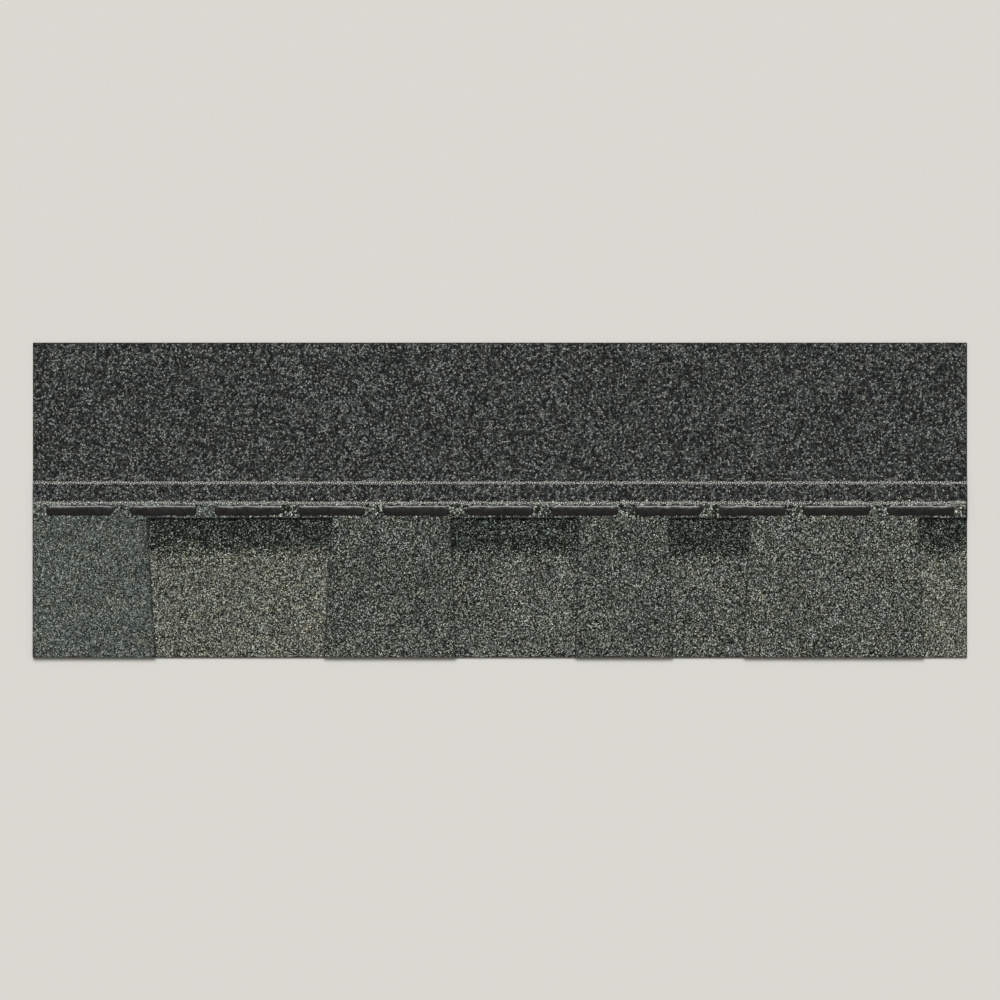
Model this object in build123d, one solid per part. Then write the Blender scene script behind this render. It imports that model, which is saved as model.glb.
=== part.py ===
"""One laminated asphalt roofing shingle, lying face up on a level floor.

A shingle of this kind is two sheets of asphalt-coated glass mat bonded together. The upper sheet, the
overlay, has wide cut-outs along its lower half, which leave a row of teeth. The lower sheet, the backer,
is a plain strip that shows through the cut-outs. Stripes of laminating adhesive hold the two together.
Dashes of sealant on the face catch the course above, and a clear film on the back keeps those dashes
from sticking to the next shingle in the pack.

Millimetres. X runs along the shingle, Y from the butt edge to the top edge, Z up.
The origin is the middle of the underside. Places along Y are worked out from the butt edge.
"""

from build123d import *
import os

# Whole shingle
shingle_length = 1000.0
shingle_height = 337.0

# Overlay: the upper sheet with the teeth
overlay_thickness = 2.7
cutout_height = 149.0
cutout_corner_radius = 2.5
tooth_tip_radius = 1.5

# Teeth from left to right: the width at the root, and how far each side leans outwards by the butt edge
tooth_widths = [122.0, 127.0, 96.0, 181.0]
left_leans = [0.0, 8.5, 3.5, 6.0]
right_leans = [9.5, 6.5, 5.5, 6.5]
# Width of the cut-out that follows each tooth, at the root; the last one runs off the end of the sheet
cutout_widths = [198.0, 137.0, 87.0]

# Backer: the plain strip under the teeth
backer_thickness = 2.6
backer_height = 172.0

# Laminating adhesive between the two sheets
bond_thickness = 0.4
bond_width = 10.0
bond_end_inset = 9.0
shortest_bond = 20.0
common_bond_width = 9.0
tooth_bond_heights = [20.0, 68.0, 116.0]

# Where the overlay leaves the backer it sags to the floor over this run
sag_run = 32.0

# Sealant dashes on the face
seal_thickness = 0.9
seal_width = 11.0
seal_dash = 72.0
seal_gap = 18.0
seal_edge_radius = 0.5
seal_margin_above_cutouts = 2.5

# Clear release film on the back of the overlay
film_thickness = 0.1
film_width = 38.0
film_clearance = 2.0

# A cutter runs this far past the sheet that it cuts
cutter_margin = 5.0

left_end = -shingle_length / 2
right_end = shingle_length / 2
butt_edge = -shingle_height / 2
top_edge = shingle_height / 2

# Levels of the overlay's underside: on the bonds over the backer, and on the film past the sag
raised_level = backer_thickness + bond_thickness
lowered_level = film_thickness
seal_height = cutout_height + seal_margin_above_cutouts + seal_width / 2
common_bond_height = (cutout_height + backer_height) / 2


def from_butt(distance):
    """Y of a line at this distance up from the butt edge."""
    return butt_edge + distance


def tooth_spans():
    """The left and right side of each tooth at its root, as X, cut off at the end of the sheet."""
    spans = []
    x = left_end
    for tooth_width, cutout_width in zip(tooth_widths, cutout_widths + [shingle_length]):
        if x < right_end:
            spans.append((x, min(x + tooth_width, right_end)))
        x += tooth_width + cutout_width
    return spans


def underside_line():
    """The overlay's underside seen from the end: flat on the backer, a double bend, then flat on the floor."""
    drop = raised_level - lowered_level
    sag_start = (from_butt(backer_height), raised_level)
    sag_middle = (sag_start[0] + sag_run / 2, raised_level - drop / 2)
    sag_end = (sag_start[0] + sag_run, lowered_level)
    over_backer = Line((butt_edge, raised_level), sag_start)
    downwards = TangentArc(sag_start, sag_middle, tangent=(1, 0))
    levelling = TangentArc(sag_middle, sag_end, tangent=downwards % 1)
    on_floor = Line(sag_end, (top_edge, lowered_level))
    return Wire([over_backer, downwards, levelling, on_floor])


def layer_section(thickness, side):
    """The end-on outline of a layer of this thickness, on one side of the overlay's underside."""
    outline = underside_line().offset_2d(thickness, kind=Kind.INTERSECTION, side=side, closed=True)
    return make_face(outline)


def along_length(section):
    """A section drawn in Y and Z, run from the left end of the shingle to its right end."""
    return extrude(Plane.YZ.offset(left_end) * section, amount=shingle_length)


def cutout(left, right, left_lean, right_lean):
    """A cutter for one cut-out: as wide as given at the root and narrowed by the teeth's leans at the butt."""
    root = from_butt(cutout_height)
    below = butt_edge - cutter_margin
    outline = Polyline(
        (left, root),
        (right, root),
        (right - right_lean, butt_edge),
        (right - right_lean, below),
        (left + left_lean, below),
        (left + left_lean, butt_edge),
        close=True,
    )
    face = make_face(outline)
    root_corners = face.vertices().group_by(Axis.Y)[-1]
    face = fillet(root_corners, cutout_corner_radius)
    height = raised_level + overlay_thickness + cutter_margin
    return extrude(face, amount=height)


def overlay_sheet():
    """The upper sheet: one section run along the shingle, less the cut-outs between the teeth."""
    sheet = along_length(layer_section(overlay_thickness, Side.LEFT))
    spans = tooth_spans()
    for index, (_, tooth_end) in enumerate(spans):
        if tooth_end >= right_end:
            break
        right_lean = 0.0
        cutout_end = right_end + cutter_margin
        if index + 1 < len(spans):
            cutout_end = spans[index + 1][0]
            right_lean = left_leans[index + 1]
        sheet -= cutout(tooth_end, cutout_end, right_leans[index], right_lean)
    tip_corners = sheet.edges().filter_by(Axis.Z).group_by(Axis.Y)[0]
    return fillet(tip_corners, tooth_tip_radius)


def backer_strip():
    """The lower sheet: a plain strip along the butt edge, as long as the overlay."""
    strip = Box(shingle_length, backer_height, backer_thickness, align=(Align.CENTER, Align.MIN, Align.MIN))
    return Pos(0, butt_edge, 0) * strip


def stripe(start, end, height, width, level, thickness):
    """A flat stripe with round ends, from X start to X end, centred at this height above the butt edge."""
    outline = Pos((start + end) / 2, from_butt(height)) * SlotOverall(end - start, width)
    return Pos(0, 0, level) * extrude(outline, amount=thickness)


def laminating_adhesive():
    """Stripes between the sheets: one along the common bond, and a few under each tooth."""
    common = stripe(
        left_end + bond_end_inset,
        right_end - bond_end_inset,
        common_bond_height,
        common_bond_width,
        backer_thickness,
        bond_thickness,
    )
    stripes = [common]
    for start, end in tooth_spans():
        if end - start - 2 * bond_end_inset < shortest_bond:
            continue
        for height in tooth_bond_heights:
            stripes.append(
                stripe(
                    start + bond_end_inset,
                    end - bond_end_inset,
                    height,
                    bond_width,
                    backer_thickness,
                    bond_thickness,
                )
            )
    return stripes


def sealant_strip():
    """A broken line of sealant along the face, just above the cut-outs."""
    pitch = seal_dash + seal_gap
    count = int((shingle_length + seal_gap) // pitch)
    first = -(count * pitch - seal_gap) / 2
    face_level = raised_level + overlay_thickness
    dashes = []
    for index in range(count):
        start = first + index * pitch
        dash = stripe(start, start + seal_dash, seal_height, seal_width, face_level, seal_thickness)
        rim = dash.faces().sort_by(Axis.Z)[-1].edges()
        dashes.append(fillet(rim, seal_edge_radius))
    return dashes


def release_film():
    """A thin film under the overlay, following its underside just past the backer."""
    film = along_length(layer_section(film_thickness, Side.RIGHT))
    low = from_butt(backer_height + film_clearance)
    keep = Pos(0, low, -cutter_margin) * Box(
        shingle_length + 2 * cutter_margin,
        film_width,
        raised_level + 2 * cutter_margin,
        align=(Align.CENTER, Align.MIN, Align.MIN),
    )
    return film & keep


pieces = {
    "overlay_sheet": [overlay_sheet()],
    "backer_strip": [backer_strip()],
    "laminating_adhesive": laminating_adhesive(),
    "sealant_strip": sealant_strip(),
    "release_film": [release_film()],
}

os.makedirs("parts", exist_ok=True)
for name, shapes in pieces.items():
    solids = [solid for shape in shapes for solid in shape.solids()]
    export_step(solids[0] if len(solids) == 1 else Compound(children=solids), f"parts/{name}.step")
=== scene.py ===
"""Dresses one laminated asphalt roofing shingle that lies face up on a pale floor.

Metres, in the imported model's frame: X along the shingle, Y from the butt edge with the teeth up to the
plain top edge, Z out of the granule face. The camera looks straight down, square to the face.
"""

import math

import bmesh
import bpy
import numpy as np
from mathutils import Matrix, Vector, noise
from mathutils.geometry import delaunay_2d_cdt


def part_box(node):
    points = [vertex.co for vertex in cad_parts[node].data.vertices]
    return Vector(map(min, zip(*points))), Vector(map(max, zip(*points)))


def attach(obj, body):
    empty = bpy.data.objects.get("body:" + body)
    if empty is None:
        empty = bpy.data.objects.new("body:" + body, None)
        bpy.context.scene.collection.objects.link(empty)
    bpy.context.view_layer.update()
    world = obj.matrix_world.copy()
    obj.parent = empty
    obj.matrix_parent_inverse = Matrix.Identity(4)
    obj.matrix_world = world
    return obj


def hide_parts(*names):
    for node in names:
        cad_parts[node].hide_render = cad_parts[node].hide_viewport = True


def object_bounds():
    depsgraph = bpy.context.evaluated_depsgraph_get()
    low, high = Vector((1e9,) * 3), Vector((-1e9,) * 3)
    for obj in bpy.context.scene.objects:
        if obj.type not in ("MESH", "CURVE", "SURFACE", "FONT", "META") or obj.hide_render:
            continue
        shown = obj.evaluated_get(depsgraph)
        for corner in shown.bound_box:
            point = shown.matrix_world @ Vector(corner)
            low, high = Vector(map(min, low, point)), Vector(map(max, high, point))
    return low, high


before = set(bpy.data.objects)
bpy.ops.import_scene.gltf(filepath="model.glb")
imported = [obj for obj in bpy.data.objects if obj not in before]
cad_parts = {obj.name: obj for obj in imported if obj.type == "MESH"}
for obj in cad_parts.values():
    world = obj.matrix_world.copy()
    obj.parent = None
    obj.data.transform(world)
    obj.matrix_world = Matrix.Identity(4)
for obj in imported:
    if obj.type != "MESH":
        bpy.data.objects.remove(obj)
cad_low, cad_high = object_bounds()
mm = 0.001


# Backer strip and overlay sheet
# The two sheets of the shingle. Each is a glass fibre mat soaked in asphalt and coated on both sides with
# asphalt full of ground limestone, then cut by a rotary die. Its back is dusted with talc and fine sand,
# so that it doesn't stick in the pack. Both keep the modelled sheets, and granules cover their faces.

asphalt_black = "#121211"
cut_fibre = "#4b463d"
# Glass fibres are finer than this. They are drawn as bundles, so that they show.
fibre_length = 4 * mm
fibre_thickness = 0.2 * mm
thin_talc = "#26241f"
thick_talc = "#5f5c56"
talc_cloud_length = 60 * mm
talc_cloud_width = 18 * mm
parting_sand = "#8f897c"
# Its grains lie this far apart, and their radius is this share of it, so they are 0.5 mm across. Real ones
# lie closer, and are drawn as coarse as they need to be to show.
sand_spacing = 0.9 * mm
sand_radius = 0.28


def linear(code):
    """An sRGB hex colour as linear red, green, blue and alpha."""
    parts = [int(code[i : i + 2], 16) / 255 for i in (1, 3, 5)]
    return [c / 12.92 if c <= 0.04045 else ((c + 0.055) / 1.055) ** 2.4 for c in parts] + [1.0]


def add(tree, kind, inputs=None, ramp=None, interpolation="LINEAR", **settings):
    """Adds a node with its settings, its inputs as values or links, and its ramp's stops if it has one."""
    node = tree.nodes.new("ShaderNode" + kind)
    for name, value in settings.items():
        setattr(node, name, value)
    for socket, value in (inputs or {}).items():
        if isinstance(value, bpy.types.NodeSocket):
            tree.links.new(value, node.inputs[socket])
        else:
            node.inputs[socket].default_value = value
    if ramp:
        stops = node.color_ramp.elements
        stops.remove(stops[-1])
        stops[0].position, stops[0].color = ramp[0][0], linear(ramp[0][1])
        for position, code in ramp[1:]:
            stops.new(position).color = linear(code)
        node.color_ramp.interpolation = interpolation
    return node


def coated_mat():
    """Asphalt-coated glass mat: bare black above, broken fibres on cut edges and a dusty, sandy back."""
    material = bpy.data.materials.new("asphalt_coated_glass_mat")
    material.use_nodes = True
    tree = material.node_tree
    surface = tree.nodes["Principled BSDF"]
    place = add(tree, "TexCoord").outputs["Object"]
    facing = add(tree, "SeparateXYZ", {0: add(tree, "NewGeometry").outputs["Normal"]}).outputs["Z"]
    is_back = add(tree, "Math", {0: facing, 1: -0.5}, operation="LESS_THAN").outputs[0]
    is_edge = add(tree, "Math", {0: facing, 1: 0.0, 2: 0.5}, operation="COMPARE").outputs[0]

    # Fibres lie in the plane of the sheet, and show where the die cuts them
    fibre_scale = (1 / fibre_length, 1 / fibre_length, 1 / fibre_thickness)
    fibre_place = add(tree, "Mapping", {"Vector": place, "Scale": fibre_scale}).outputs[0]
    fibres = add(tree, "TexNoise", {"Vector": fibre_place, "Scale": 1.0, "Detail": 3.0}).outputs["Fac"]
    cut_fibres = add(tree, "Math", {0: fibres, 1: is_edge}, operation="MULTIPLY").outputs[0]
    fibre_tones = [(0.5, asphalt_black), (0.72, cut_fibre)]
    edge = add(tree, "ValToRGB", {"Fac": cut_fibres}, fibre_tones).outputs["Color"]

    # Talc lies in clouds that the rollers draw out along the shingle, with sand scattered over it
    talc_scale = (1 / talc_cloud_length, 1 / talc_cloud_width, 1.0)
    talc_place = add(tree, "Mapping", {"Vector": place, "Scale": talc_scale}).outputs[0]
    cloudiness = {"Vector": talc_place, "Scale": 1.0, "Detail": 6.0, "Roughness": 0.65}
    talc = add(tree, "TexNoise", cloudiness).outputs["Fac"]
    dusted = add(tree, "ValToRGB", {"Fac": talc}, [(0.3, thin_talc), (0.7, thick_talc)]).outputs["Color"]
    sand = add(tree, "TexVoronoi", {"Vector": place, "Scale": 1 / sand_spacing}).outputs["Distance"]
    grains = add(tree, "Math", {0: sand, 1: sand_radius}, operation="LESS_THAN").outputs[0]
    sanded = {"Fac": grains, "Color1": dusted, "Color2": linear(parting_sand)}
    back = add(tree, "MixRGB", sanded).outputs["Color"]
    colour = add(tree, "MixRGB", {"Fac": is_back, "Color1": edge, "Color2": back}).outputs["Color"]
    tree.links.new(colour, surface.inputs["Base Color"])

    height = add(tree, "Math", {0: grains, 1: cut_fibres}, operation="ADD").outputs[0]
    bump = add(tree, "Bump", {"Height": height, "Strength": 0.6, "Distance": 0.1 * mm}).outputs[0]
    tree.links.new(bump, surface.inputs["Normal"])
    dull = add(tree, "MapRange", {"Value": talc, "To Min": 0.7, "To Max": 0.95}).outputs[0]
    tree.links.new(dull, surface.inputs["Roughness"])
    return material


sheet_material = coated_mat()
for name in ("backer_strip", "overlay_sheet"):
    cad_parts[name].data.materials.clear()
    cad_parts[name].data.materials.append(sheet_material)


# Laminating adhesive
# Stripes of hot asphalt, run on between the sheets and squeezed to 0.4 mm when they are pressed together.
# They keep the modelled stripes, which show only in the gap between the sheets at the edges.

shaded_asphalt_hollow = "#0d0d0c"
lit_asphalt_crest = "#1d1b19"


def set_asphalt(name, roughness, ripple):
    """Unfilled asphalt that was run on hot and set: smooth, near black, with low ripples of this length."""
    material = bpy.data.materials.new(name)
    material.use_nodes = True
    tree = material.node_tree
    surface = tree.nodes["Principled BSDF"]
    place = add(tree, "TexCoord").outputs["Object"]
    ripples = add(tree, "TexNoise", {"Vector": place, "Scale": 1 / ripple, "Detail": 3.0}).outputs["Fac"]
    # The ripples' hollows are painted darker and their crests lighter: painted shade and light that follow
    # the bump
    tones = [(0.3, shaded_asphalt_hollow), (0.75, lit_asphalt_crest)]
    colour = add(tree, "ValToRGB", {"Fac": ripples}, tones).outputs["Color"]
    tree.links.new(colour, surface.inputs["Base Color"])
    gloss_range = {"Value": ripples, "To Min": roughness - 0.08, "To Max": roughness + 0.12}
    gloss = add(tree, "MapRange", gloss_range).outputs[0]
    tree.links.new(gloss, surface.inputs["Roughness"])
    bump = add(tree, "Bump", {"Height": ripples, "Strength": 0.5, "Distance": 0.25 * mm}).outputs[0]
    tree.links.new(bump, surface.inputs["Normal"])
    return material


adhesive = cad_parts["laminating_adhesive"]
adhesive.data.materials.clear()
adhesive.data.materials.append(set_asphalt("laminating_asphalt", roughness=0.5, ripple=4 * mm))


# Release film
# A clear polyester film, 0.1 mm thick, laid along the back, where it keeps sealant from sticking in the
# pack. It keeps the modelled strip and shows as a glossy band on the dusty back. It creases across its
# width, which gives it a shimmer.

film_tint = "#dfe4e6"
crease_spacing = 15 * mm
crease_length = 60 * mm

film_material = bpy.data.materials.new("clear_polyester_film")
film_material.use_nodes = True
film_tree = film_material.node_tree
film_surface = film_tree.nodes["Principled BSDF"]
film_surface.inputs["Base Color"].default_value = linear(film_tint)
film_surface.inputs["Roughness"].default_value = 0.12
film_surface.inputs["IOR"].default_value = 1.57
film_surface.inputs["Transmission Weight"].default_value = 0.9
film_place = add(film_tree, "TexCoord").outputs["Object"]
crease_scale = (1 / crease_spacing, 1 / crease_length, 1.0)
crease_place = add(film_tree, "Mapping", {"Vector": film_place, "Scale": crease_scale}).outputs[0]
creases = add(film_tree, "TexNoise", {"Vector": crease_place, "Scale": 1.0, "Detail": 2.0}).outputs["Fac"]
film_bump = add(film_tree, "Bump", {"Height": creases, "Strength": 0.4, "Distance": 0.4 * mm}).outputs[0]
film_tree.links.new(film_bump, film_surface.inputs["Normal"])
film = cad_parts["release_film"]
film.data.materials.clear()
film.data.materials.append(film_material)


# Granules
# Crushed rock of about 1 to 2 mm with a fired ceramic colour coat, pressed into the hot coating of both
# sheets. They are dropped in blends: each tooth and cut-out has its own mix of dark and light chips, a
# dark band shades the top of each cut-out, and a plain mix covers the upper part, which is hidden in use.

# The exposed part has granules of a fine grade, and from the sealant up, where it is hidden, a coarse one
fine_spacing = 1.27 * mm
coarse_spacing = 2.1 * mm
# They lie in a triangular net, thrown off their places by up to this share of the spacing, and a few are
# missing. None is nearer to the edge of its bed, and no two along it nearer together, than the last share.
throw_in_net = 0.4
missing_share = 0.06
clear_share = 0.5
# Heights of the chips and of the low places between them, and how deep the bed is pressed into the coating
granule_rise = (0.4 * mm, 0.9 * mm)
low_place_rise = (0.02 * mm, 0.14 * mm)
press_depth = 0.3 * mm
# A chip's tip is off its middle by up to this share of the fine spacing
tip_throw = 0.16

# The die breaks granules off along the cuts: about this far in, and from a third to twice as far by turns
edge_break = 0.75 * mm
break_length = 14 * mm
break_swing = 1.8
break_range = (0.33, 2)
# Those along an edge are moved in or out by up to this much, and along it by this share of their steps
edge_raggedness = 0.22 * mm
throw_along_edge = 0.25

# Dashes of sealant lie on some of the granules and press them lower, to this share of their height
dash_length = 72 * mm
dash_gap = 18 * mm
under_sealant = 0.3

# How much of each mix is chips of which colour, from dark to light
blends = {
    "shadow_band": {
        "#0c110e": 0.3, "#252b27": 0.28, "#434b45": 0.2, "#697069": 0.12, "#9ca299": 0.07, "#d4d8cd": 0.03,
    },
    "slate_blue": {
        "#1e231f": 0.1, "#454b46": 0.22, "#626864": 0.3, "#7f857f": 0.24, "#a4aaa3": 0.11, "#d8dcd3": 0.03,
    },
    "weathered_tan": {
        "#1c1c16": 0.1, "#404238": 0.2, "#65655b": 0.24, "#898a7e": 0.22, "#b4b5a9": 0.17, "#e0e1d6": 0.07,
    },
    "charcoal_grey": {
        "#0f130f": 0.13, "#333630": 0.25, "#555952": 0.24, "#797d76": 0.2, "#a7aba2": 0.13, "#dde1d7": 0.05,
    },
    "storm_grey": {
        "#0e110b": 0.12, "#353831": 0.23, "#595c54": 0.24, "#7e817a": 0.22, "#aeb1a7": 0.13, "#e3e6db": 0.06,
    },
    "headlap_mix": {"#1c1d1d": 0.2, "#363837": 0.3, "#4f514f": 0.25, "#6e706d": 0.17, "#979995": 0.08},
}
tooth_blends = ["slate_blue", "charcoal_grey", "charcoal_grey", "storm_grey"]
cutout_blends = ["weathered_tan", "storm_grey", "storm_grey", "weathered_tan"]
# The facets of one chip are not quite alike: how far apart they lie in the blend
facet_variation = 0.12

# Heights above the butt edge where one blend gives way to the next, and over how far they mingle
shadow_band_heights = [114 * mm, 110.5 * mm, 109.5 * mm, 112 * mm]
shadow_band_mingles = [14 * mm, 10 * mm, 5 * mm, 12 * mm]
prime_height = 167 * mm
prime_mingle = 3 * mm
drop_mingle = 9 * mm

# The drops are cloudy: large patches are a little lighter or darker, and small ones bluer or browner
cloud_size = 50 * mm
cloud_lightness = (1.03, 1.31)
tint_size = 12 * mm
cool_tint = "#f6fcff"
warm_tint = "#fdfdf5"
# Crushing leaves each chip with small breaks of its own, which take the coat unevenly, and with finer grit
break_size = 0.8 * mm
break_lightness = (0.7, 1.3)
grit_size = 0.35 * mm
# Places where neighbours have come off are about 2 mm across, and show the coating. The black in the gaps
# # is partly the real coating and partly painted shade between the chips.
loss_size = 1.6 * mm
gap_black_and_painted_shade = "#0f0f0e"

# Two painted lines show where the nails go, with edges that wander a little
nail_lines = (165.5 * mm, 187 * mm)
nail_line_width = 3 * mm
nail_line_wander = 0.8 * mm
wander_length = 3 * mm
line_paint = "#c4c4bc"

# Each bed gets a plan that its colours can be baked on, where an empty stretch longer than the first
# # size is closed up to the second. The plan fills nearly all of the map, and the hidden base and walls
# # share one corner.
longest_stretch = 5 * mm
closed_stretch = 2 * mm
plan_share = 0.96
hidden_share = 0.03
hidden_corner = (0.0, 0.965)

# Every cut-out is wider than this, and ends at least this far below the top edge of the backer
narrowest_cutout = 5 * mm
least_headroom = 5 * mm
# Points nearer than this to a level or to each other are taken to lie on it or together
tolerance = 0.01 * mm


def face_outline(sheet):
    """The sheet's face: its outline from above, and the run of its height from the butt edge upwards."""
    bm = bmesh.new()
    bm.from_mesh(sheet.data)
    bmesh.ops.remove_doubles(bm, verts=bm.verts, dist=tolerance / 10)
    upward = [f for f in bm.faces if f.normal.z > 0.5]
    chosen = set(upward)
    rim = {e for f in upward for e in f.edges if sum(g in chosen for g in e.link_faces) == 1}
    vertex = max((v for e in rim for v in e.verts), key=lambda v: (v.co.y, -v.co.x))
    loop = []
    while rim:
        loop.append(vertex.co.xy[:])
        step = next(e for e in vertex.link_edges if e in rim)
        rim.remove(step)
        vertex = step.other_vert(vertex)
    heights = {round(v.co.y, 5): round(v.co.z, 6) for f in upward for v in f.verts}
    bm.free()
    x, y = np.array(loop).T
    if x @ np.roll(y, -1) < y @ np.roll(x, -1):
        loop.reverse()
    run = sorted(heights.items())
    bends = [b for a, b, c in zip(run, run[1:], run[2:]) if not a[1] == b[1] == c[1]]
    return np.array(loop), np.array([run[0], *bends, run[-1]])


def cutout_outlines(loop, butt, top):
    """The outline of each cut-out: a stretch of the sheet's outline between two levels, closed below."""
    outlines, stretch = [], []
    for point in loop:
        if butt + tolerance < point[1] < top:
            stretch.append(point)
        elif stretch:
            outlines.append(np.array([(stretch[0][0], butt), *stretch, (stretch[-1][0], butt)])[::-1])
            stretch = []
    # The rounded corners at the ends of the sheet leave narrow stretches too, which are no cut-outs
    return [outline for outline in outlines if np.ptp(outline[:, 0]) > narrowest_cutout]


def roughened(outline, broken_inside, rng):
    """Points along an outline about a granule apart, moved a little, as the die leaves the granules.

    Granules are broken off along the ends and long edges of the shingle, and along the cuts inside them
    only by the share broken_inside.
    """
    points = []
    low, high = np.array(cad_low.xy) + tolerance, np.array(cad_high.xy) - tolerance
    for start, end in zip(outline, np.roll(outline, -1, axis=0)):
        run = end - start
        length = math.hypot(*run)
        count = max(1, round(length / fine_spacing))
        places = start + np.arange(count)[:, None] / count * run
        shift = rng.uniform(-throw_along_edge, throw_along_edge, (count, 1)) * run / count
        waves = [noise.noise((x / break_length, y / break_length, 0)) for x, y in places]
        broken = edge_break * np.clip(1 + break_swing * np.array(waves), *break_range)
        broken[((places > low) & (places < high)).all(axis=1)] *= broken_inside
        outwards = np.array([run[1], -run[0]]) / length
        sideways = (rng.uniform(-1, 1, count) * edge_raggedness - broken)[:, None] * outwards
        # The first point of each run is a corner of the outline, which isn't moved along it
        shift[0] = 0
        for place in places + shift + sideways:
            if not points or math.dist(points[-1], place) > clear_share * fine_spacing:
                points.append(place)
    return np.array(points)


def scattered(outline, spacing, rng):
    """Places for granules inside an outline: a triangular net, thrown about, thinned, clear of the edge."""
    low, high = outline.min(axis=0), outline.max(axis=0)
    rise = spacing * math.sqrt(3) / 2
    rows = int((high[1] - low[1]) / rise) + 1
    columns = int((high[0] - low[0]) / spacing) + 1
    row, column = np.mgrid[0:rows, 0:columns]
    net = np.stack([low[0] + (column + row % 2 / 2) * spacing, low[1] + row * rise], axis=-1)
    net = net.reshape(-1, 2)
    net += rng.uniform(-throw_in_net, throw_in_net, net.shape) * spacing
    net = net[rng.random(len(net)) > missing_share]
    inside = np.zeros(len(net), bool)
    clear = np.full(len(net), np.inf)
    for start, end in zip(outline, np.roll(outline, -1, axis=0)):
        run = end - start
        crosses = (start[1] > net[:, 1]) != (end[1] > net[:, 1])
        slope = run[0] / run[1] if run[1] else 0.0
        inside ^= crosses & (net[:, 0] < start[0] + (net[:, 1] - start[1]) * slope)
        share = np.clip((net - start) @ run / (run @ run), 0, 1)
        clear = np.minimum(clear, np.linalg.norm(net - start - share[:, None] * run, axis=1))
    return net[inside & (clear > clear_share * spacing)]


def granule_net(outlines, broken_inside, coarse_from, rng):
    """A flat net of granules: points with the tips first, then the low places between them, and triangles.

    The granules are of the fine grade below the level coarse_from, and of the coarse one above it. The tips
    are joined into triangles, each triangle is poked at its middle to make the low place between three
    granules, and every edge between two tips is turned to run between two low places.
    """
    tips = [roughened(outline, broken_inside, rng) for outline in outlines]
    rims = []
    for rim in tips:
        rims += [(len(rims) + i, len(rims) + (i + 1) % len(rim)) for i in range(len(rim))]
    for outline in outlines:
        fine = scattered(outline, fine_spacing, rng)
        coarse = scattered(outline, coarse_spacing, rng)
        tips += [fine[fine[:, 1] < coarse_from], coarse[coarse[:, 1] >= coarse_from]]
    # Output type 1 keeps the triangles inside the rims, and the last number merges points that coincide
    flat_tips = [Vector(tip) for tip in np.vstack(tips)]
    places, _, triangles, *_ = delaunay_2d_cdt(flat_tips, rims, [], 1, 1e-9)
    mesh = bpy.data.meshes.new("net")
    mesh.from_pydata([(*p, 0.0) for p in places], [], triangles)
    bm = bmesh.new()
    bm.from_mesh(mesh)
    outer = [e for e in bm.edges if e.is_boundary]
    inner = [e for e in bm.edges if not e.is_boundary]
    bmesh.ops.bisect_edges(bm, edges=outer, cuts=1)
    bmesh.ops.poke(bm, faces=bm.faces[:])
    bmesh.ops.rotate_edges(bm, edges=inner)
    bm.to_mesh(mesh)
    bm.free()
    points = np.empty(len(mesh.vertices) * 3)
    mesh.vertices.foreach_get("co", points)
    corners = np.empty(len(mesh.loops), int)
    mesh.loops.foreach_get("vertex_index", corners)
    bpy.data.meshes.remove(mesh)
    return points.reshape(-1, 3), corners.reshape(-1, 3), len(places)


def raise_granules(points, tip_count, rng):
    """Lifts the tips by different amounts and throws them off centre, so that no two chips look alike."""
    points[:tip_count, 2] = rng.uniform(*granule_rise, tip_count)
    points[:tip_count, :2] += rng.uniform(-tip_throw, tip_throw, (tip_count, 2)) * fine_spacing
    points[tip_count:, 2] = rng.uniform(*low_place_rise, len(points) - tip_count)


def closed_below(mesh, bends):
    """Gives an open bed its walls and its base, with an edge across the base at each bend of the sheet."""
    bm = bmesh.new()
    bm.from_mesh(mesh)
    rim = [e for e in bm.edges if e.is_boundary]
    wall = bmesh.ops.extrude_edge_only(bm, edges=rim)["geom"]
    rise = bm.verts.layers.float["rise"]
    for vertex in (g for g in wall if isinstance(g, bmesh.types.BMVert)):
        vertex.co.z = -press_depth
        vertex[rise] = 0.0
    lower_rim = [g for g in wall if isinstance(g, bmesh.types.BMEdge) and g.is_boundary]
    base = bmesh.ops.holes_fill(bm, edges=lower_rim)["faces"]
    for y in bends:
        verts = {v for f in base for v in f.verts}
        if min(v.co.y for v in verts) < y < max(v.co.y for v in verts):
            geom = [*base, *{e for f in base for e in f.edges}, *verts]
            cut = bmesh.ops.bisect_plane(bm, geom=geom, plane_co=(0, y, 0), plane_no=(0, 1, 0))
            base = [g for g in cut["geom"] if isinstance(g, bmesh.types.BMFace)]
    bmesh.ops.recalc_face_normals(bm, faces=bm.faces)
    bm.to_mesh(mesh)
    bm.free()


def bed_plan(co):
    """A bed's places on its map: seen from above, with empty stretches over teeth or cut-outs closed up.

    What lies beyond the stretch nearest the middle goes into a second row, and the rows fill the map.
    """
    plan = co[:, :2] - co[:, :2].min(axis=0)
    along = np.sort(plan[:, 0])
    steps = np.diff(along, prepend=0.0)
    is_empty = steps > longest_stretch
    closed = along - np.cumsum(np.where(is_empty, steps - closed_stretch, 0.0))
    plan[:, 0] = np.interp(plan[:, 0], along, closed)
    if is_empty.any():
        fold = min(closed[is_empty], key=lambda x: abs(x - closed[-1] / 2))
        second_row = plan[:, 0] > fold - closed_stretch / 2
        plan[second_row] += (-fold, plan[:, 1].max() + closed_stretch)
    return plan / plan.max(axis=0)


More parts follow.
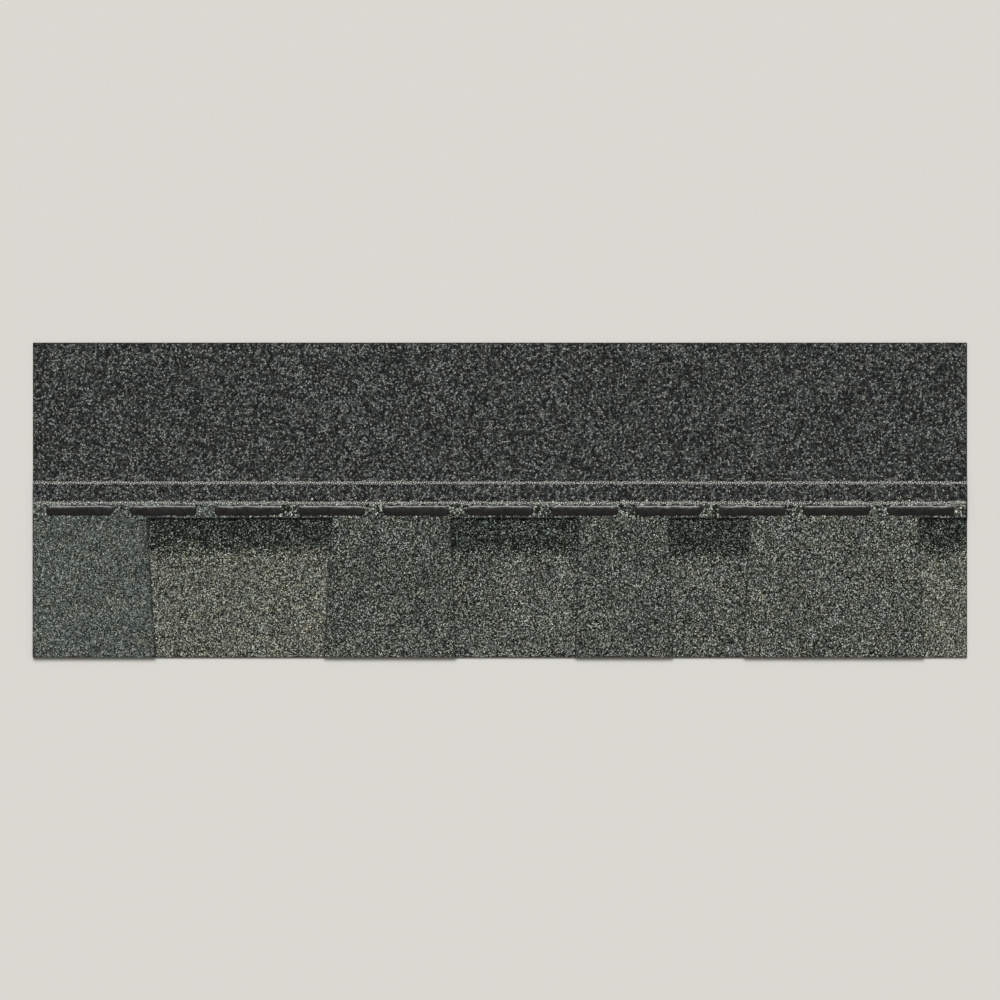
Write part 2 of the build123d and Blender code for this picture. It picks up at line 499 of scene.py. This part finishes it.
def granule_bed(name, points, corners, height_run, tone, blend, slot, material):
    """Closes part of a net below, drapes it over the sheet and makes it a piece with its granules' mixes."""
    tip_count = len(tone)
    used, local = np.unique(corners, return_inverse=True)
    tips = corners.min(axis=1)
    # A tone that passes either end of the blend is turned back into it
    facet_tone = tone[tips] + np.random.default_rng(len(tips)).normal(0.0, facet_variation, len(tips))
    facet_tone = 1 - np.abs(1 - np.abs(facet_tone))
    is_tip = (used < tip_count).astype(float)
    mesh = bpy.data.meshes.new(name)
    mesh.from_pydata(points[used], [], local.reshape(-1, 3))
    mesh.attributes.new("tone", "FLOAT", "FACE").data.foreach_set("value", facet_tone)
    mesh.attributes.new("blend", "FLOAT", "FACE").data.foreach_set("value", blend[tips])
    mesh.attributes.new("rise", "FLOAT", "POINT").data.foreach_set("value", is_tip)
    closed_below(mesh, bends=height_run[1:-1, 0])

    co = np.empty(len(mesh.vertices) * 3)
    mesh.vertices.foreach_get("co", co)
    co = co.reshape(-1, 3)
    loops = np.empty(len(mesh.loops), int)
    mesh.loops.foreach_get("vertex_index", loops)
    uv = bed_plan(co)[loops] * plan_share
    # The corners that come after the granules' own are those of the base and walls
    uv[corners.size :] = uv[corners.size :] * hidden_share + hidden_corner
    mesh.uv_layers.new(name="OFBake").uv.foreach_set("vector", uv.ravel())

    co[:, 2] += np.interp(co[:, 1], height_run[:, 0], height_run[:, 1])
    mesh.vertices.foreach_set("co", co.ravel())
    mesh.materials.append(material)
    piece = bpy.data.objects.new(name, mesh)
    bpy.context.scene.collection.objects.link(piece)
    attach(piece, "root")


def granule_beds(names, piece_of_tip, points, corners, *finish):
    """Makes a net into several pieces with a map each, which meet along the sides of granules."""
    piece_of_face = piece_of_tip[corners.min(axis=1)]
    for index, name in enumerate(names):
        granule_bed(name, points, corners[piece_of_face == index], *finish)


def ceramic_granules():
    """Ceramic-coated crushed rock: matt chips, each of one colour, with black asphalt and painted shade in
    the gaps.
    """
    material = bpy.data.materials.new("ceramic_coated_granules")
    material.use_nodes = True
    tree = material.node_tree
    surface = tree.nodes["Principled BSDF"]
    place = add(tree, "TexCoord").outputs["Object"]
    tone = add(tree, "Attribute", attribute_name="tone").outputs["Fac"]
    blend = add(tree, "Attribute", attribute_name="blend").outputs["Fac"]
    rise = add(tree, "Attribute", attribute_name="rise").outputs["Fac"]

    colour = None
    for index, shares in enumerate(blends.values()):
        limits = np.cumsum([0.0, *shares.values()])[:-1]
        chips = add(tree, "ValToRGB", {"Fac": tone}, list(zip(limits, shares)), "CONSTANT").outputs["Color"]
        chosen = add(tree, "Math", {0: blend, 1: float(index), 2: 0.5}, operation="COMPARE").outputs[0]
        mixed = {"Fac": chosen, "Color1": colour or chips, "Color2": chips}
        colour = add(tree, "MixRGB", mixed).outputs["Color"]

    # Clouds and tints of the drop, and the uneven coat of each chip
    clouds = add(tree, "TexNoise", {"Vector": place, "Scale": 1 / cloud_size, "Detail": 3.0}).outputs["Fac"]
    darkest, lightest = cloud_lightness
    cloud_range = {"Value": clouds, "From Min": 0.3, "From Max": 0.7, "To Min": darkest, "To Max": lightest}
    lightness = add(tree, "MapRange", cloud_range).outputs[0]
    tints = add(tree, "TexNoise", {"Vector": place, "Scale": 1 / tint_size, "Detail": 2.0}).outputs["Fac"]
    tint = add(tree, "ValToRGB", {"Fac": tints}, [(0.35, cool_tint), (0.65, warm_tint)]).outputs["Color"]
    breaks = add(tree, "TexVoronoi", {"Vector": place, "Scale": 1 / break_size}).outputs["Color"]
    darkest, lightest = break_lightness
    uneven = add(tree, "MapRange", {"Value": breaks, "To Min": darkest, "To Max": lightest}).outputs[0]
    for factor in (lightness, tint, uneven):
        product = {"Fac": 1.0, "Color1": colour, "Color2": factor}
        colour = add(tree, "MixRGB", product, blend_type="MULTIPLY").outputs["Color"]

    # The lines are rolled on over the granules, so that paint catches the tips and misses the gaps
    height = add(tree, "SeparateXYZ", {0: place}).outputs["Y"]
    raggedness = {"Vector": place, "Scale": 1 / wander_length, "Detail": 2.0}
    ragged = add(tree, "TexNoise", raggedness).outputs["Fac"]
    wander_range = {"Value": ragged, "To Min": -nail_line_wander, "To Max": nail_line_wander}
    wander = add(tree, "MapRange", wander_range).outputs[0]
    height = add(tree, "Math", {0: height, 1: wander}, operation="ADD").outputs[0]
    lines = []
    for level in nail_lines:
        stripe = {0: height, 1: cad_low.y + level, 2: nail_line_width / 2}
        lines.append(add(tree, "Math", stripe, operation="COMPARE").outputs[0])
    line = add(tree, "Math", {0: lines[0], 1: lines[1]}, operation="MAXIMUM").outputs[0]
    caught = add(tree, "MapRange", {"Value": rise, "From Min": 0.25, "From Max": 0.45}).outputs[0]
    painted = add(tree, "Math", {0: line, 1: caught}, operation="MULTIPLY").outputs[0]
    paint = {"Fac": painted, "Color1": colour, "Color2": linear(line_paint)}
    colour = add(tree, "MixRGB", paint).outputs["Color"]

    # Black coating shows in the gaps, up to a tenth or so of each chip's height, and up to two thirds of it
    # # on some chips, where a neighbour has come off. This black is partly the real coating and partly
    # painted
    # # shade between the chips.
    losses = add(tree, "TexNoise", {"Vector": place, "Scale": 1 / loss_size, "Detail": 1.0}).outputs["Fac"]
    loss_range = {"Value": losses, "From Min": 0.5, "From Max": 0.75, "To Max": 0.65}
    lost = add(tree, "MapRange", loss_range).outputs[0]
    left = add(tree, "Math", {0: rise, 1: lost}, operation="SUBTRACT").outputs[0]
    coated = add(tree, "MapRange", {"Value": left, "From Min": 0.06, "From Max": 0.2}).outputs[0]
    coat = {"Fac": coated, "Color1": linear(gap_black_and_painted_shade), "Color2": colour}
    tree.links.new(add(tree, "MixRGB", coat).outputs["Color"], surface.inputs["Base Color"])

    # The fired coat is matt on most chips and has a slight glaze on some
    glaze = add(tree, "MapRange", {"Value": tone, "To Min": 0.9, "To Max": 0.6}).outputs[0]
    tree.links.new(glaze, surface.inputs["Roughness"])
    surface.inputs["Specular IOR Level"].default_value = 0.15
    grit = add(tree, "TexNoise", {"Vector": place, "Scale": 1 / grit_size, "Detail": 3.0}).outputs["Fac"]
    bump = add(tree, "Bump", {"Height": grit, "Strength": 0.5, "Distance": 0.06 * mm}).outputs[0]
    tree.links.new(bump, surface.inputs["Normal"])
    return material


granules = ceramic_granules()
blend_numbers = {name: index for index, name in enumerate(blends)}
sheet_outline, sheet_run = face_outline(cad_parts["overlay_sheet"])
_, backer_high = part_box("backer_strip")
cutouts = cutout_outlines(sheet_outline, butt=cad_low.y, top=backer_high.y - least_headroom)
cutouts.sort(key=lambda outline: outline[:, 0].min())
root_level = max(outline[:, 1].max() for outline in cutouts)
halfway_up = (cad_low.y + root_level) / 2


# Granules on the backer
# The parts of the backer's face that show through the cut-outs, in a lower and an upper piece. Most of
# their blends are lighter than the teeth's, and a dark band along the top of each cut-out makes the teeth
# look as though they throw a long shadow.

backer_seed = 101
backer_run = np.array([(cad_low.y, backer_high.z), (cad_high.y, backer_high.z)])
rng = np.random.default_rng(backer_seed)
# Beside a tooth the bed runs on under it unbroken, so it ends there at the tooth's side
points, corners, tip_count = granule_net(cutouts, broken_inside=0.0, coarse_from=cad_high.y, rng=rng)
tips = points[:tip_count].copy()
raise_granules(points, tip_count, rng)

tooth_middles = [(a[:, 0].max() + b[:, 0].min()) / 2 for a, b in zip(cutouts, cutouts[1:])]
cutout = np.searchsorted(tooth_middles, tips[:, 0])
mingle = rng.normal(0.0, 0.5, tip_count) * np.array(shadow_band_mingles)[cutout]
above_band = tips[:, 1] - cad_low.y + mingle > np.array(shadow_band_heights)[cutout]
cutout_numbers = np.array([blend_numbers[name] for name in cutout_blends])
blend = np.where(above_band, blend_numbers["shadow_band"], cutout_numbers[cutout])
tone = rng.random(tip_count)

names = ["lower_cutout_granules", "upper_cutout_granules"]
piece_of_tip = (tips[:, 1] > halfway_up).astype(int)
granule_beds(names, piece_of_tip, points, corners, backer_run, tone, blend, "granule_backer", granules)


# Granules on the overlay
# One unbroken bed over the teeth and the plain upper part. It is split into a lower and an upper piece on
# the teeth and four on the upper part, which join along the sides of granules, so that no seam shows.

overlay_seed = 7
headlap_parts = 4
rng = np.random.default_rng(overlay_seed)
seal_low, seal_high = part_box("sealant_strip")
points, corners, tip_count = granule_net([sheet_outline], broken_inside=1.0, coarse_from=seal_low.y, rng=rng)
tips = points[:tip_count].copy()
raise_granules(points, tip_count, rng)
dash_count = round((seal_high.x - seal_low.x + dash_gap) / (dash_length + dash_gap))
dash_middles = seal_low.x + dash_length / 2 + np.arange(dash_count) * (dash_length + dash_gap)
beside = np.abs(tips[:, 0, None] - dash_middles).min(axis=1)
sealed = (tips[:, 1] > seal_low.y) & (tips[:, 1] < seal_high.y) & (beside < dash_length / 2)
points[:tip_count, 2][sealed] *= under_sealant

drop_borders = [outline[:, 0].mean() for outline in cutouts]
drop = np.searchsorted(drop_borders, tips[:, 0] + rng.normal(0.0, drop_mingle / 2, tip_count))
drop_numbers = np.array([blend_numbers[name] for name in [*tooth_blends, tooth_blends[-1]]])
above_prime = tips[:, 1] - cad_low.y + rng.normal(0.0, prime_mingle / 2, tip_count) > prime_height
blend = np.where(above_prime, blend_numbers["headlap_mix"], drop_numbers[drop])
tone = rng.random(tip_count)

names = ["lower_teeth_granules", "upper_teeth_granules"]
names += [f"headlap_granules_{number}" for number in range(1, headlap_parts + 1)]
headlap_part = ((tips[:, 0] - cad_low.x) / (cad_high.x - cad_low.x) * headlap_parts).astype(int)
headlap_part = np.clip(headlap_part, 0, headlap_parts - 1)
piece_of_tip = np.where(tips[:, 1] > root_level, 2 + headlap_part, tips[:, 1] > halfway_up)
granule_beds(names, piece_of_tip, points, corners, sheet_run, tone, blend, "granule_overlay", granules)


# Sealant dashes
# Beads of soft thermoplastic asphalt, run on hot over the granules above the cut-outs. Sun warmth melts
# them in use, so that they glue. They set glossy and domed, and a little lumpy from the granules below.

# Each bead's skirt is sunk among the granules, and its rim stands this high above the sheet
bead_rim = 0.15 * mm
bead_sink = 0.3 * mm
bead_segments = (64, 12)
# A dome's profile, where 2 would be an ellipse
dome_power = 2.2
# The sides of a bead swell in and out by turns, each along its own slice of the noise, and its top is lumpy
swell_length = 14 * mm
swell_share = 0.16
swell_slice = 5.0
lump_length = 4 * mm
lump_share = 0.2
lump_slice = 9.0
mean_height_share = 0.9

crown = seal_high.z - seal_low.z
dash_radius = (seal_high.y - seal_low.y) / 2
straight = dash_length / 2 - dash_radius
bm = bmesh.new()
for middle in dash_middles:
    grid = bmesh.ops.create_grid(bm, x_segments=bead_segments[0], y_segments=bead_segments[1], size=1.0)
    for vertex in grid["verts"]:
        along = math.sin(vertex.co.x * math.pi / 2) * dash_length / 2
        across = math.sin(vertex.co.y * math.pi / 2)
        past = max(0.0, abs(along) - straight)
        half_width = math.sqrt(max(0.0, dash_radius**2 - past**2))
        from_spine = math.hypot(past, across * half_width) / dash_radius
        x = middle + along
        swell = noise.noise((x / swell_length, math.copysign(swell_slice, across), 0.0))
        lump = noise.noise((x / lump_length, across * half_width / lump_length, lump_slice))
        dome = math.sqrt(max(0.0, 1 - from_spine**dome_power))
        vertex.co = (
            x,
            (seal_low.y + seal_high.y) / 2 + across * half_width * (1 + swell_share * swell),
            seal_low.z + bead_rim + (crown - bead_rim) * dome * (mean_height_share + lump_share * lump),
        )
bmesh.ops.remove_doubles(bm, verts=bm.verts, dist=tolerance)
skirt = bmesh.ops.extrude_edge_only(bm, edges=[e for e in bm.edges if e.is_boundary])["geom"]
for vertex in (g for g in skirt if isinstance(g, bmesh.types.BMVert)):
    vertex.co.z = seal_low.z - bead_sink
bmesh.ops.holes_fill(bm, edges=[e for e in bm.edges if e.is_boundary])
bmesh.ops.recalc_face_normals(bm, faces=bm.faces)
bead_mesh = bpy.data.meshes.new("sealant_beads")
bm.to_mesh(bead_mesh)
bm.free()
bead_mesh.shade_smooth()
bead_mesh.materials.append(set_asphalt("sealant_asphalt", roughness=0.2, ripple=5 * mm))
beads = bpy.data.objects.new("sealant_beads", bead_mesh)
bpy.context.scene.collection.objects.link(beads)
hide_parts("sealant_strip")
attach(beads, "root")


# Floor, light and camera
# A plain pale floor, and beyond its end a backdrop of the same colour. One broad soft light stands beyond
# the top edge, so that a soft shadow lies below each edge, and the room fills in a little. The camera is
# far off, square above the middle, and the shingle spans most of the picture.

floor_grey = "#dcdad4"
floor_reach = 80.0
floor_drop = 0.05 * mm
key_elevation = math.radians(57)
key_width = math.radians(34)
key_strength = 2.7
room_white = "#f4f3f0"
room_strength = 0.28
picture_share = 0.935

floor_mesh = bpy.data.meshes.new("floor")
bm = bmesh.new()
bmesh.ops.create_grid(bm, x_segments=1, y_segments=1, size=floor_reach)
bmesh.ops.translate(bm, verts=bm.verts, vec=(0.0, 0.0, cad_low.z - floor_drop))
bm.to_mesh(floor_mesh)
bm.free()
floor = bpy.data.objects.new("floor", floor_mesh)
bpy.context.scene.collection.objects.link(floor)
floor_material = bpy.data.materials.new("pale_studio_floor")
floor_material.use_nodes = True
floor_surface = floor_material.node_tree.nodes["Principled BSDF"]
floor_surface.inputs["Base Color"].default_value = linear(floor_grey)
floor_surface.inputs["Roughness"].default_value = 0.8
floor_mesh.materials.append(floor_material)

key = bpy.data.lights.new("key", "SUN")
key.energy = key_strength
key.angle = key_width
key_object = bpy.data.objects.new("key", key)
key_object.rotation_euler = (key_elevation - math.radians(90), 0.0, 0.0)
bpy.context.scene.collection.objects.link(key_object)

world = bpy.data.worlds.new("room")
world.use_nodes = True
world_tree = world.node_tree
fill = world_tree.nodes["Background"]
fill.inputs["Color"].default_value = linear(room_white)
fill.inputs["Strength"].default_value = room_strength
backdrop = add(world_tree, "Background", {"Color": linear(floor_grey), "Strength": 1.0})
to_camera = add(world_tree, "LightPath").outputs["Is Camera Ray"]
room = add(world_tree, "MixShader", {0: to_camera, 1: fill.outputs[0], 2: backdrop.outputs[0]})
world_tree.links.new(room.outputs[0], world_tree.nodes["World Output"].inputs["Surface"])
bpy.context.scene.world = world

camera_data = bpy.data.cameras.new("camera")
camera_data.lens = 135.0
camera_data.clip_end = 200.0
camera = bpy.data.objects.new("camera", camera_data)
picture_width = (cad_high.x - cad_low.x) / picture_share
camera.location = (
    (cad_low.x + cad_high.x) / 2,
    (cad_low.y + cad_high.y) / 2,
    cad_high.z + picture_width * camera_data.lens / camera_data.sensor_width,
)
bpy.context.scene.collection.objects.link(camera)
bpy.context.scene.camera = camera
bpy.context.scene.view_settings.view_transform = "Standard"
